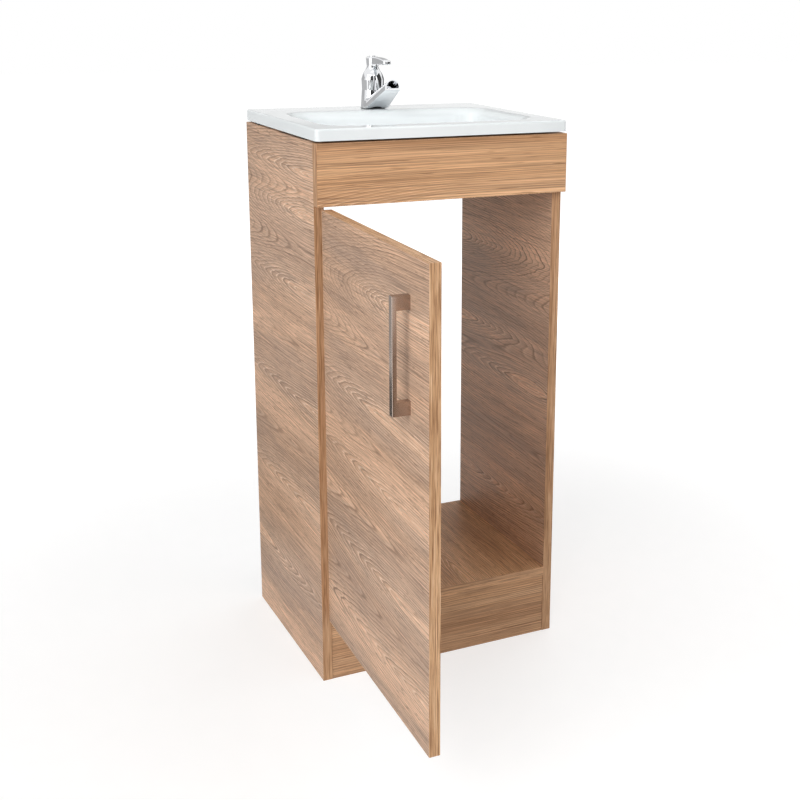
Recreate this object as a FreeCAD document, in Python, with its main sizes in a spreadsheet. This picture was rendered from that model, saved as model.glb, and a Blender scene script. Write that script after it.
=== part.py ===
"""Slim vanity cabinet with a ceramic basin, a pillar tap and one door on concealed hinges.

Sizes are in millimetres. X runs along the width from its middle, Y from front to back, Z up from the floor.
Y is zero in the middle of the plinth. The door stands open at rest.
"""
import FreeCAD, Part
import math
import os
import re
import Sketcher

Vector = FreeCAD.Vector
os.makedirs("parts", exist_ok=True)
doc = FreeCAD.newDocument("vanity_cabinet")

# Driving sizes
SIZES = {
    # The cabinet
    "width": 400,
    "depth": 320,
    "side_height": 830,
    "board": 15,
    "band": 0.8,
    "plinth_height": 100,
    "plinth_setback": 0.5,
    "plinth_gap": 0.4,
    "fascia_height": 89,
    "front_rail_height": 80,
    "rear_rail_height": 100,
    "wall_hole_radius": 4,
    "wall_hole_x": 120,
    "fascia_screw_x": 100,
    "fascia_screw_sink": 10,
    "screw_radius": 2,
    "screw_head_radius": 3.6,
    "screw_head": 2.2,
    "fit": 0.05,
    "overrun": 1,
    "cam_radius": 7.4,
    "cam_height": 12,
    "cam_inset": 24,
    "bolt_radius": 2.5,
    "bolt_head_radius": 3.5,
    "bolt_head": 4,
    "bolt_sink": 10.5,
    "dowel_radius": 4,
    "dowel_half": 11,
    "connector_step": 40,
    "dowel_step": 72,
    "bracket_width": 25,
    "bracket_leg": 30,
    "bracket_thickness": 1.5,
    "bracket_x": 110,
    "bracket_hole": 20,
    "bracket_screw_sink": 7.5,
    "pad_length": 20,
    "pad_width": 9,
    "pad_height": 3,
    # The basin and its waste
    "rim_thickness": 17,
    "rim_corner": 6,
    "rim_round": 3,
    "bowl_side_margin": 40,
    "bowl_front_gap": 2,
    "bowl_back_margin": 89,
    "bowl_depth": 80,
    "bowl_slope_angle": 8,
    "bowl_corner": 36,
    "bowl_foot": 24,
    "bowl_lip": 15,
    "bowl_wall": 9,
    "waste_radius": 21,
    "waste_clearance": 1.5,
    "waste_wall": 3.5,
    "waste_flange_radius": 31.5,
    "waste_flange": 3,
    "waste_length": 46,
    "gasket": 1,
    "gasket_margin": 1,
    "nut_gasket": 3,
    "locknut_radius": 31,
    "locknut_height": 10,
    "spider_width": 6,
    "spider_height": 8,
    "spider_drop": 22,
    "plug_radius": 29,
    "plug_height": 4,
    "plug_lift": 8,
    "plug_stem_radius": 3,
    "plug_stem": 40,
    "plug_rest_gap": 0.3,
    # The tap, measured up from its foot on the gasket
    "tap_from_back": 45,
    "tap_hole_radius": 14,
    "tap_foot_radius": 20.5,
    "tap_shoulder_radius": 18.4,
    "tap_body_height": 29,
    "spout_root": 17,
    "spout_reach": 85,
    "spout_root_half": 19.5,
    "spout_root_side": 3.4,
    "spout_tip_half": 13,
    "spout_tip_low": 34,
    "spout_tip_side": 38,
    "mouth_wall": 2.6,
    "mouth_lip": 2.4,
    "mouth_back": 63,
    "mouth_back_low": 26,
    "mouth_back_side": 28,
    "bonnet_radius": 19.1,
    "belly_rise": 16,
    "bonnet_waist_radius": 14.4,
    "waist_rise": 12,
    "bonnet_neck_radius": 9.2,
    "neck_rise": 10,
    "bonnet_curve_out": 34,
    "bonnet_curve_in": 26,
    "spindle_radius": 5,
    "spindle_gap": 2,
    "spindle_grip": 7.7,
    "hub_radius": 11,
    "hub_draft": 1,
    "hub_gap": 0.3,
    "hub_crown": 3,
    "hub_curve": 5.5,
    "lever_length": 46,
    "lever_width": 14,
    "lever_turn_angle": 12,
    "lever_root_rise": 1.7,
    "lever_root_drop": 1.5,
    "lever_tip_rise": 3.2,
    "lever_tip_thickness": 5,
    "lever_tip_round": 5.5,
    "lever_bow": 110,
    "lever_soft": 1.6,
    "cap_radius": 5,
    "cap_margin": 1,
    "cap_height": 2,
    "lever_screw_radius": 2,
    "lever_screw_length": 15,
    "lever_screw_head_radius": 3.4,
    "lever_screw_head": 2.5,
    "lever_screw_web": 2,
    "lever_screw_gap": 1.5,
    "shank_radius": 10.2,
    "shank_bore": 6,
    "shank_length": 58,
    "tap_washer_radius": 21,
    "tap_washer": 2,
    "backnut_radius": 18,
    "backnut_height": 9,
    # The door and its handle, along the door from its hinge edge and in from its outer face
    "door_side_gap": 1.5,
    "door_foot_gap": 3.5,
    "door_top_gap": 4.5,
    "door_open_angle": 91.65,
    "door_open_x": 8.2,
    "door_open_y": -8.8,
    "handle_from_edge": 59,
    "handle_width": 10,
    "handle_from_top": 49.5,
    "handle_length": 150,
    "handle_foot": 18,
    "handle_reach": 24,
    "handle_bar": 6,
    "handle_soft": 0.6,
    "handle_screw_end": 11,
    "handle_screw_sink": 9,
    "bumper_radius": 4,
    "bumper_height": 1.2,
    "bumper_inset": 8,
    "bumper_end": 14,
    # The hinges; pivots are placed from the cabinet's left front corner or from the door's corner
    "hinge_from_end": 100,
    "arm_pin_x": 35.75,
    "arm_pin_y": -9.723,
    "slot_pin_x": 38.464,
    "slot_pin_y": 2.324,
    "slot_run_x": -1.1,
    "slot_run_y": 1.9,
    "slot_radius": 1.5,
    "cup_pin_along": 14.1,
    "cup_pin_depth": 12.1,
    "outer_pin_along": 10.2,
    "outer_pin_depth": 14.3,
    "pin_radius": 1,
    "inner_half": 2.5,
    "link_gap": 0.5,
    "link_thickness": 1.2,
    "inner_eye": 2,
    "inner_bar": 1.7,
    "outer_eye": 1.9,
    "outer_bar": 1,
    "outer_pin_end": 0.3,
    "cheek_thickness": 1.2,
    "nose_radius": 2,
    "arm_throat": 1,
    "arm_lip": 0.6,
    "arm_brow": 11,
    "arm_shoulder": 13,
    "arm_heel": 20,
    "arm_crank": 27,
    "arm_toe": 3,
    "arm_low": 19,
    "arm_high": 27,
    "arm_peak": 43,
    "arm_back": 66,
    "arm_web": 1.2,
    "plate_thickness": 2,
    "plate_start": 30,
    "plate_length": 28,
    "plate_half": 23,
    "plate_screw_z": 16,
    "plate_screw_sink": 10,
    "rail_gap": 0.4,
    "rail_length": 34,
    "arm_screw_start": 7,
    "arm_screw_step": 20,
    "arm_screw_sink": 7,
    "cup_radius": 17.45,
    "cup_bore_depth": 12,
    "cup_edge": 4,
    "cup_wall": 0.55,
    "cup_flange": 1,
    "cup_flange_near": 9,
    "cup_flange_far": 38,
    "cup_flange_half": 29,
    "cup_screw_offset": 6,
    "cup_screw_z": 24,
    "cup_screw_sink": 9,
    "ear_thickness": 1.2,
    "ear_start": 7.4,
    "ear_end": 17.5,
}

# Sizes worked out in the sheet from the driving ones
WORKED_OUT = {
    "front": "=-(plinth_setback + board / 2)",
    "back": "=front + depth",
    "inner": "=width / 2 - board",
    "shelf_mid": "=plinth_height + board / 2",
    "front_rail_mid": "=side_height - front_rail_height / 2",
    "rear_rail_mid": "=side_height - rear_rail_height / 2",
    "slab_z": "=side_height + pad_height",
    "rim_z": "=slab_z + rim_thickness",
    "bowl_z": "=rim_z - bowl_depth",
    "bowl_under": "=bowl_z - bowl_wall",
    "bowl_half": "=width / 2 - bowl_side_margin",
    "bowl_front": "=board + bowl_front_gap + bowl_wall",
    "bowl_back": "=depth - bowl_back_margin",
    "waste_y": "=front + (bowl_front + bowl_back) / 2",
    "waste_hole_radius": "=waste_radius + waste_clearance",
    "waste_bore": "=waste_radius - waste_wall",
    "tap_y": "=back - tap_from_back",
    "tap_z": "=rim_z + gasket",
    "mouth_half": "=spout_tip_half - mouth_wall",
    "mouth_low": "=spout_tip_low + mouth_lip",
    "bonnet_belly": "=tap_body_height + belly_rise",
    "bonnet_waist": "=bonnet_belly + waist_rise",
    "bonnet_top": "=bonnet_waist + neck_rise",
    "spindle_foot": "=tap_body_height + spindle_gap",
    "hub_foot": "=bonnet_top + hub_gap",
    "spindle_top": "=hub_foot + spindle_grip",
    "lever_screw_seat": "=spindle_top + lever_screw_web",
    "lever_screw_foot": "=lever_screw_seat - lever_screw_length",
    "lever_screw_top": "=lever_screw_seat + lever_screw_head",
    "cap_foot": "=lever_screw_top + lever_screw_gap",
    "hub_top": "=cap_foot + cap_height / 2",
    "hub_edge": "=hub_top - hub_crown",
    "lever_root_low": "=hub_foot + lever_root_rise",
    "lever_root_high": "=hub_top - lever_root_drop",
    "lever_tip_low": "=hub_foot + lever_tip_rise",
    "lever_tip_high": "=lever_tip_low + lever_tip_thickness",
    "door_x": "=-width / 2 + door_open_x",
    "door_y": "=front + door_open_y",
    "door_width": "=width - 2 * door_side_gap",
    "door_bottom": "=plinth_height + door_foot_gap",
    "door_top": "=side_height - fascia_height - door_top_gap",
    "door_height": "=door_top - door_bottom",
    "handle_along": "=door_width - handle_from_edge - handle_width",
    "handle_bottom": "=door_top - handle_from_top - handle_length",
    "handle_pitch": "=handle_length - 2 * handle_screw_end",
    "outer_near": "=inner_half + link_gap",
    "outer_far": "=outer_near + link_thickness",
    "outer_pin_near": "=outer_near - outer_pin_end",
    "cheek_near": "=outer_far + link_gap",
    "cheek_far": "=cheek_near + cheek_thickness",
    "ear_near": "=cheek_far + link_gap",
    "ear_far": "=ear_near + ear_thickness",
    "rail_half": "=cheek_near - rail_gap",
    "plate_screw_y": "=plate_start + plate_length / 2",
    "arm_screw_first": "=plate_start + arm_screw_start",
    "arm_screw_second": "=arm_screw_first + arm_screw_step",
    "cup_centre": "=cup_edge + cup_radius",
    "cup_floor": "=board - cup_bore_depth + cup_wall",
    "arm_x": "=-width / 2 + arm_pin_x",
    "arm_y": "=front + arm_pin_y",
    "slot_x": "=-width / 2 + slot_pin_x",
    "slot_y": "=front + slot_pin_y",
    "cup_x": "=door_x + cos(door_open_angle) * cup_pin_along + sin(door_open_angle) * cup_pin_depth",
    "cup_y": "=door_y - sin(door_open_angle) * cup_pin_along + cos(door_open_angle) * cup_pin_depth",
    "outer_x": "=door_x + cos(door_open_angle) * outer_pin_along + sin(door_open_angle) * outer_pin_depth",
    "outer_y": "=door_y - sin(door_open_angle) * outer_pin_along + cos(door_open_angle) * outer_pin_depth",
    "inner_length": "=sqrt((cup_x - arm_x)^2 + (cup_y - arm_y)^2)",
    "outer_length": "=sqrt((outer_x - slot_x)^2 + (outer_y - slot_y)^2)",
}

sheet = doc.addObject("Spreadsheet::Sheet", "dim")
ALIASES = {**SIZES, **WORKED_OUT}
for row, (word, content) in enumerate(ALIASES.items(), start=1):
    sheet.set("A%d" % row, word)
    sheet.set("B%d" % row, str(content))
    sheet.setAlias("B%d" % row, word)
doc.recompute()

TURNS = {
    "x": FreeCAD.Rotation(Vector(0, 1, 0), 90),
    "y": FreeCAD.Rotation(Vector(1, 0, 0), -90),
    "z": FreeCAD.Rotation(),
}
HINGES = {
    "lower": "door_bottom + hinge_from_end",
    "upper": "door_top - hinge_from_end",
}
SIDES = ("left", "right")
SLOT_SHARES = ("-0.15", "0.5", "1")
TINY = 1e-6
CLOSE = 0.01
nodes = []


def bound(text):
    """Expression text with each named size read from the sheet."""
    def named(found):
        word = found.group()
        return "dim." + word if word in ALIASES else word

    return re.sub(r"[a-z_]+", named, text)


def value(text):
    """Number that an expression of named sizes gives."""
    return float(sheet.evalExpression(bound(text)))


def bind(obj, **expressions):
    """Bind properties to expressions; a double underscore stands for a step into the property."""
    for prop, text in expressions.items():
        obj.setExpression(prop.replace("__", "."), bound(text))
    return obj


def seat(obj, x, y, z, angle="0"):
    """Place an object at a point, turned about Z."""
    obj.Placement = FreeCAD.Placement(Vector(), FreeCAD.Rotation(Vector(0, 0, 1), 1))
    return bind(obj, Placement__Base__x=x, Placement__Base__y=y, Placement__Base__z=z,
                Placement__Rotation__Angle=angle)


def on_door(obj):
    """Carry a piece drawn in the closed door's own axes to the open door."""
    return seat(obj, "door_x", "door_y", "0", "360 - door_open_angle")


def on_tap(obj, angle="0"):
    """Carry a piece drawn about the tap's own axis to its place on the basin."""
    return seat(obj, "0", "tap_y", "tap_z", angle)


def box(size, corner):
    """Block from three sizes and its low corner."""
    obj = doc.addObject("Part::Box", "block")
    bind(obj, Length=size[0], Width=size[1], Height=size[2])
    return bind(obj, Placement__Base__x=corner[0], Placement__Base__y=corner[1], Placement__Base__z=corner[2])


def rod(radius, length, start, along="z"):
    """Cylinder from its start point along one axis."""
    obj = doc.addObject("Part::Cylinder", "rod")
    obj.Placement = FreeCAD.Placement(Vector(), TURNS[along])
    bind(obj, Radius=radius, Height=length)
    return bind(obj, Placement__Base__x=start[0], Placement__Base__y=start[1], Placement__Base__z=start[2])


def group(pieces, name="pieces"):
    """Separate solids kept side by side in one object."""
    obj = doc.addObject("Part::Compound", name)
    obj.Links = pieces
    return obj


def fuse(pieces, name="joined"):
    """One solid from touching pieces."""
    obj = doc.addObject("Part::MultiFuse", name)
    obj.Shapes = pieces
    obj.Refine = True
    return obj


def cut(base, tools, name="cut"):
    """A solid with other shapes taken away."""
    obj = doc.addObject("Part::Cut", name)
    obj.Base = base
    obj.Tool = tools[0] if len(tools) == 1 else group(tools)
    return obj


def node(name, obj):
    """Name a finished sub-part for export."""
    obj.Label = name
    nodes.append(obj)
    return obj


def ring(outer, bore, height, start, along="z"):
    """Tube, washer or drilled disc."""
    return cut(rod(outer, height, start, along), [rod(bore, height, start, along)])


def hexagon_nut(corner_radius, bore, height, y, z):
    """Six-sided nut on an upright thread."""
    hexagon = doc.addObject("Part::Prism", "hexagon")
    hexagon.Polygon = 6
    bind(hexagon, Circumradius=corner_radius, Height=height, Placement__Base__y=y, Placement__Base__z=z)
    return cut(hexagon, [rod(bore, height, ("0", y, z))])


def screw(length, start, along, head_first=True):
    """Screw with a plain shank and a round head at one end."""
    axis = "xyz".index(along)
    shank = rod("screw_radius", length, start, along)
    seat_point = list(start)
    seat_point[axis] += " - screw_head" if head_first else " + (%s)" % length
    return fuse([shank, rod("screw_head_radius", "screw_head", seat_point, along)])


def body(name):
    """Empty sketch-based solid."""
    return doc.addObject("PartDesign::Body", name)


def plane(owner, role):
    """One of a body's own origin planes."""
    return next(item for item in owner.Origin.OriginFeatures if item.Role == role)


def hold(sketch, kind, edge, point, text):
    """Hold one coordinate of a sketch point at an expression, measured from the sketch's origin."""
    number = value(text)
    if abs(number) < TINY:
        axis = -2 if kind == "DistanceX" else -1
        sketch.addConstraint(Sketcher.Constraint("PointOnObject", edge, point, axis))
        return
    if number > 0:
        index = sketch.addConstraint(Sketcher.Constraint(kind, -1, 1, edge, point, number))
        sketch.setExpression("Constraints[%d]" % index, bound(text))
    else:
        index = sketch.addConstraint(Sketcher.Constraint(kind, edge, point, -1, 1, -number))
        sketch.setExpression("Constraints[%d]" % index, bound("-(%s)" % text))


def arc_between(start, end, radius):
    """Circle arc of a signed radius: positive turns left on the way, negative turns right."""
    chord = end - start
    left = Vector(-chord.y, chord.x, 0).normalize()
    rise = math.sqrt(max(radius * radius - chord.Length * chord.Length / 4, 0))
    centre = (start + end) * 0.5 + left * (rise if radius > 0 else -rise)
    first, last = (start, end) if radius > 0 else (end, start)
    angles = [math.atan2(spot.y - centre.y, spot.x - centre.x) for spot in (first, last)]
    circle = Part.Circle(centre, Vector(0, 0, 1), abs(radius))
    return Part.ArcOfCircle(circle, angles[0], angles[1])


def outline(owner, role, points, offset="0"):
    """Closed sketch through points; a third entry makes the edge ending there an arc of signed radius."""
    sketch = owner.newObject("Sketcher::SketchObject", "outline")
    sketch.AttachmentSupport = [(plane(owner, role), "")]
    sketch.MapMode = "FlatFace"
    sketch.setExpression("AttachmentOffset.Base.z", bound(offset))
    spots = [Vector(value(point[0]), value(point[1]), 0) for point in points]
    ends = []
    for number, point in enumerate(points):
        start = spots[number - 1]
        end = spots[number]
        if len(point) == 2:
            edge = sketch.addGeometry(Part.LineSegment(start, end))
            ends.append((edge, 1, 2))
            continue
        radius = value(point[2])
        edge = sketch.addGeometry(arc_between(start, end, radius))
        ends.append((edge, 1, 2) if radius > 0 else (edge, 2, 1))
        if abs((end - start).Length - 2 * abs(radius)) < TINY:
            hold(sketch, "DistanceY", edge, 3, point[1])
            continue
        index = sketch.addConstraint(Sketcher.Constraint("Radius", edge, abs(radius)))
        sketch.setExpression("Constraints[%d]" % index, bound("abs(%s)" % point[2]))
    for number, point in enumerate(points):
        edge, _, far = ends[number]
        following, near, _ = ends[(number + 1) % len(ends)]
        sketch.addConstraint(Sketcher.Constraint("Coincident", edge, far, following, near))
        hold(sketch, "DistanceX", edge, far, point[0])
        hold(sketch, "DistanceY", edge, far, point[1])
    return sketch


def rectangle(low_x, high_x, low_y, high_y):
    """Corner points of a rectangle."""
    return [(low_x, low_y), (high_x, low_y), (high_x, high_y), (low_x, high_y)]


def pad(owner, sketch, length, kind="PartDesign::Pad", symmetric=False, reverse=False, taper=None):
    """Raise or sink a sketch by a length."""
    feature = owner.newObject(kind, "pad")
    feature.Profile = sketch
    if symmetric:
        feature.SideType = "Symmetric"
    feature.Reversed = reverse
    bind(feature, Length=length)
    if taper:
        bind(feature, TaperAngle=taper)
    sketch.Visibility = False
    return feature


def revolve(owner, sketch):
    """Turn a sketch about its own upright axis."""
    feature = owner.newObject("PartDesign::Revolution", "turned")
    feature.Profile = sketch
    feature.ReferenceAxis = (sketch, ["V_Axis"])
    feature.Angle = 360
    return feature


def loft(owner, kind, first, last):
    """Straight-sided solid or hollow between two sketches."""
    feature = owner.newObject(kind, "loft")
    feature.Profile = first
    feature.Sections = [last]
    feature.Ruled = True
    return feature


def soften(owner, radius, wanted):
    """Round the edges of a body that a test picks."""
    doc.recompute()
    base = owner.Tip
    names = ["Edge%d" % (number + 1) for number, edge in enumerate(base.Shape.Edges) if wanted(edge)]
    feature = owner.newObject("PartDesign::Fillet", "rounded")
    feature.Base = (base, names)
    return bind(feature, Radius=radius)


def level(edge, height):
    """Whether an edge lies flat at a height."""
    bounds = edge.BoundBox
    return abs(bounds.ZMin - height) < CLOSE and abs(bounds.ZMax - height) < CLOSE


def between(edge, low, high):
    """Whether an edge runs from one height to another."""
    bounds = edge.BoundBox
    return abs(bounds.ZMin - low) < CLOSE and abs(bounds.ZMax - high) < CLOSE


def inset(side, near, far):
    """Low X of a span that lies between two depths inside one side panel's inner face."""
    return "inner - (%s)" % far if side == "right" else "(%s) - inner" % near


# Connectors between the boards: each row is a board, a place across and a height
CAMS = [
    ("shelf", "front + connector_step", "shelf_mid"),
    ("shelf", "back - connector_step", "shelf_mid"),
    ("front_rail", "front + board / 2", "front_rail_mid"),
    ("rear_rail", "back - board / 2", "rear_rail_mid"),
]
DOWELS = [
    ("shelf", "front + dowel_step", "shelf_mid"),
    ("shelf", "back - dowel_step", "shelf_mid"),
    ("front_rail", "front + board / 2", "front_rail_mid - connector_step / 2"),
    ("rear_rail", "back - board / 2", "rear_rail_mid - connector_step / 2"),
]


def cam_rod(where, side, y, z, radius, height):
    """Upright or level round of a cam lock: in the shelf's underside or in a rail's inner face."""
    x = inset(side, "cam_inset", "cam_inset")
    if where == "shelf":
        return rod(radius, height, (x, y, "plinth_height"), "z")
    if where == "front_rail":
        return rod(radius, height, (x, "front + board - (%s)" % height, z), "y")
    return rod(radius, height, (x, "back - board", z), "y")


def bolt_rod(side, y, z, radius, near, far):
    """Round along X between two depths inside a side panel's inner face."""
    return rod(radius, "(%s) - (%s)" % (far, near), (inset(side, near, far), y, z), "x")


def board_bores(board_name):
    """Connector bores in the ends of one of the boards between the sides."""
    bores = []
    for side in SIDES:
        for where, y, z in CAMS:
            if where == board_name:
                bores.append(cam_rod(where, side, y, z, "cam_radius + fit", "cam_height + fit"))
                bores.append(bolt_rod(side, y, z, "bolt_head_radius + fit", "0", "cam_inset"))
        for where, y, z in DOWELS:
            if where == board_name:
                bores.append(bolt_rod(side, y, z, "dowel_radius + fit", "0", "dowel_half + fit"))
    return bores


def make_side_panels():
    """Two upright sides, drilled for connectors and for the hinge plates' screws."""
    bands = []
    for side in SIDES:
        x = inset(side, "-board", "0")
        core = box(("board", "depth - band", "side_height"), (x, "front + band", "0"))
        bores = [bolt_rod(side, y, z, "bolt_radius + fit", "-bolt_sink - fit", "0") for _, y, z in CAMS]
        bores += [bolt_rod(side, y, z, "dowel_radius + fit", "-dowel_half - fit", "0") for _, y, z in DOWELS]
        if side == "left":
            for height in HINGES.values():
                for sign in "-+":
                    z = "%s %s plate_screw_z" % (height, sign)
                    bores.append(bolt_rod(side, "front + plate_screw_y", z, "screw_radius + fit",
                                          "-plate_screw_sink - fit", "0"))
        node("side_panel_" + side, cut(core, bores))
        bands.append(box(("board", "band", "side_height"), (x, "front", "0")))
    node("side_edge_bands", group(bands))


def make_shelf_and_rails():
    """The bottom shelf with its banded front, and the two top rails."""
    shelf = box(("2 * inner", "depth - band", "board"), ("-inner", "front + band", "plinth_height"))
    pilots = [rod("screw_radius + fit", "bracket_screw_sink",
                  (x, "board / 2 + bracket_hole", "plinth_height"), "z")
              for x in ("-bracket_x", "bracket_x")]
    node("base_shelf", cut(shelf, board_bores("shelf") + pilots))
    node("shelf_edge_band", box(("2 * inner", "band", "board"), ("-inner", "front", "plinth_height")))
    front_rail = box(("2 * inner", "board", "front_rail_height"),
                     ("-inner", "front", "side_height - front_rail_height"))
    passages = [rod("screw_radius + fit", "board", (x, "front", "front_rail_mid"), "y")
                for x in ("-fascia_screw_x", "fascia_screw_x")]
    node("front_rail", cut(front_rail, board_bores("front_rail") + passages))
    rear_rail = box(("2 * inner", "board", "rear_rail_height"),
                    ("-inner", "back - board", "side_height - rear_rail_height"))
    wall_holes = [rod("wall_hole_radius", "board", (x, "back - board", "rear_rail_mid"), "y")
                  for x in ("-wall_hole_x", "wall_hole_x")]
    node("rear_rail", cut(rear_rail, board_bores("rear_rail") + wall_holes))


def make_connectors():
    """Cam locks, their bolts and the wooden dowels."""
    cams = []
    bolts = []
    dowels = []
    for side in SIDES:
        for where, y, z in CAMS:
            bore = bolt_rod(side, y, z, "bolt_head_radius + fit", "cam_inset - cam_radius - overrun",
                            "cam_inset + overrun")
            cams.append(cut(cam_rod(where, side, y, z, "cam_radius", "cam_height"), [bore]))
            shank = bolt_rod(side, y, z, "bolt_radius", "-bolt_sink", "cam_inset - fit")
            head = bolt_rod(side, y, z, "bolt_head_radius", "cam_inset - bolt_head", "cam_inset - fit")
            bolts.append(fuse([shank, head]))
        for _, y, z in DOWELS:
            dowels.append(bolt_rod(side, y, z, "dowel_radius", "-dowel_half", "dowel_half"))
    node("cam_locks", group(cams))
    node("cam_bolts", group(bolts))
    node("dowels", group(dowels))


def make_plinth():
    """The plinth board under the shelf's front, held by two angle brackets."""
    plinth_back = "board / 2"
    middle = "plinth_height - bracket_hole"
    shelf_screw_y = "board / 2 + bracket_hole"
    pilot_y = "board / 2 - bracket_screw_sink"
    screw_length = "bracket_screw_sink + bracket_thickness - fit"
    board_core = box(("2 * (inner - plinth_gap)", "board", "plinth_height"),
                     ("plinth_gap - inner", "front + plinth_setback", "0"))
    pilots = []
    brackets = []
    screws = []
    for x in ("-bracket_x", "bracket_x"):
        pilots.append(rod("screw_radius + fit", "bracket_screw_sink", (x, pilot_y, middle), "y"))
        low_x = "%s - bracket_width / 2" % x
        upright = box(("bracket_width", "bracket_thickness", "bracket_leg"),
                      (low_x, plinth_back, "plinth_height - bracket_leg"))
        flat = box(("bracket_width", "bracket_leg", "bracket_thickness"),
                   (low_x, plinth_back, "plinth_height - bracket_thickness"))
        holes = [
            rod("screw_radius + fit", "bracket_thickness", (x, plinth_back, middle), "y"),
            rod("screw_radius + fit", "bracket_thickness",
                (x, shelf_screw_y, "plinth_height - bracket_thickness"), "z"),
        ]
        brackets.append(cut(fuse([upright, flat]), holes))
        screws.append(screw(screw_length, (x, pilot_y + " + fit", middle), "y", head_first=False))
        screws.append(screw(screw_length, (x, shelf_screw_y, "plinth_height - bracket_thickness"), "z"))
    node("plinth", cut(board_core, pilots))
    node("plinth_brackets", group(brackets))
    node("plinth_bracket_screws", group(screws))


def banded_board(size, corner, holes):
    """Core and edge bands of an upright drilled board that is banded on its four narrow edges."""
    wide, thick, tall = size
    x, y, z = corner
    core_wide = "%s - 2 * band" % wide
    core = box((core_wide, thick, "%s - 2 * band" % tall), ("%s + band" % x, y, "%s + band" % z))
    bands = []
    for edge_x in (x, "%s + %s - band" % (x, wide)):
        bands.append(box(("band", thick, tall), (edge_x, y, z)))
    for edge_z in (z, "%s + %s - band" % (z, tall)):
        bands.append(box((core_wide, thick, "band"), ("%s + band" % x, y, edge_z)))
    return cut(core, holes), group(bands)


def make_fascia():
    """The fixed front panel over the sides' top ends, screwed on from behind through the front rail."""
    size = ("width", "board", "fascia_height")
    corner = ("-width / 2", "front - board", "side_height - fascia_height")
    pilot_y = "front - fascia_screw_sink - fit"
    pilots = [rod("screw_radius + fit", "fascia_screw_sink + fit", (x, pilot_y, "front_rail_mid"), "y")
              for x in ("-fascia_screw_x", "fascia_screw_x")]
    core, bands = banded_board(size, corner, pilots)
    node("fascia_panel", core)
    node("fascia_edge_bands", bands)
    screws = [screw("board + fascia_screw_sink", (x, "front - fascia_screw_sink", "front_rail_mid"), "y",
                    head_first=False)
              for x in ("-fascia_screw_x", "fascia_screw_x")]
    node("fascia_screws", group(screws))


def make_basin():
    """Ceramic slab basin with a tapered bowl, a waste hole and a tap hole."""
    basin = body("basin_body")
    slab = outline(basin, "XY_Plane", rectangle("-width / 2", "width / 2", "front - board", "back"), "slab_z")
    pad(basin, slab, "rim_thickness")
    low = value("slab_z")
    high = value("rim_z")
    soften(basin, "rim_corner", lambda edge: between(edge, low, high))
    soften(basin, "rim_round", lambda edge: level(edge, high))
    shell = outline(basin, "XY_Plane", rectangle(
        "-bowl_half - bowl_wall", "bowl_half + bowl_wall",
        "front + bowl_front - bowl_wall", "front + bowl_back + bowl_wall"), "slab_z")
    under = value("bowl_under")
    pad(basin, shell, "slab_z - bowl_under", reverse=True, taper="-bowl_slope_angle")
    hollow = outline(basin, "XY_Plane", rectangle(
        "-bowl_half", "bowl_half", "front + bowl_front", "front + bowl_back"), "rim_z")
    floor = value("bowl_z")
    pad(basin, hollow, "bowl_depth", kind="PartDesign::Pocket", taper="-bowl_slope_angle")
    soften(basin, "bowl_corner + bowl_wall", lambda edge: between(edge, under, low))
    soften(basin, "bowl_foot + bowl_wall / 2", lambda edge: level(edge, under))
    soften(basin, "bowl_corner", lambda edge: between(edge, floor, high))
    soften(basin, "bowl_foot", lambda edge: level(edge, floor))
    reach = value("bowl_half + overrun")
    soften(basin, "bowl_lip", lambda edge: level(edge, high) and edge.BoundBox.XMax < reach
           and edge.BoundBox.XMin > -reach)
    waste_hole = rod("waste_hole_radius", "bowl_wall + 2 * overrun", ("0", "waste_y", "bowl_under - overrun"))
    tap_hole = rod("tap_hole_radius", "rim_thickness + 2 * overrun", ("0", "tap_y", "slab_z - overrun"))
    node("basin", cut(basin, [waste_hole, tap_hole]))
    pads = []
    for x in ("-inner - board / 2", "inner + board / 2"):
        for y in ("front + connector_step", "back - connector_step - pad_length"):
            corner = ("%s - pad_width / 2" % x, y, "side_height")
            pads.append(box(("pad_width", "pad_length", "pad_height"), corner))
    node("basin_pads", group(pads))


def make_waste():
    """Push-down waste: flanged body with a guide across its bore, gaskets, locknut and plug."""
    flange_z = "bowl_z + gasket"
    foot_z = "bowl_z + gasket - waste_length"
    guide_z = "bowl_z - spider_drop"
    spot = ("0", "waste_y")
    node("waste_gasket", ring("waste_flange_radius - gasket_margin", "waste_radius + fit", "gasket",
                              (*spot, "bowl_z")))
    flange = rod("waste_flange_radius", "waste_flange", (*spot, flange_z))
    tube = rod("waste_radius", "waste_length", (*spot, foot_z))
    bore = rod("waste_bore", "waste_length + waste_flange", (*spot, foot_z))
    bar = box(("2 * (waste_bore + overrun)", "spider_width", "spider_height"),
              ("-waste_bore - overrun", "waste_y - spider_width / 2", guide_z))
    boss = rod("spider_width", "spider_height", (*spot, guide_z))
    guide = rod("plug_stem_radius + fit", "spider_height", (*spot, guide_z))
    node("waste_body", cut(fuse([cut(fuse([flange, tube]), [bore]), bar, boss]), [guide]))
    node("waste_nut_gasket", ring("locknut_radius - 2 * gasket_margin", "waste_radius + fit", "nut_gasket",
                                  (*spot, "bowl_under - nut_gasket")))
    nut_z = "bowl_under - nut_gasket - locknut_height"
    node("waste_locknut", hexagon_nut("locknut_radius", "waste_radius + fit", "locknut_height", "waste_y",
                                      nut_z))
    cap_z = "bowl_z + gasket + waste_flange + plug_lift + plug_rest_gap"
    cap = rod("plug_radius", "plug_height", (*spot, cap_z))
    stem = rod("plug_stem_radius", "plug_stem", (*spot, "%s - plug_stem" % cap_z))
    node("waste_plug", fuse([cap, stem]))


def arch(half, low, side):
    """Points of an upright arch: a level foot, two sides and a half-round top."""
    return [("-(%s)" % half, low), (half, low), (half, side), ("-(%s)" % half, side, half)]


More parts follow.
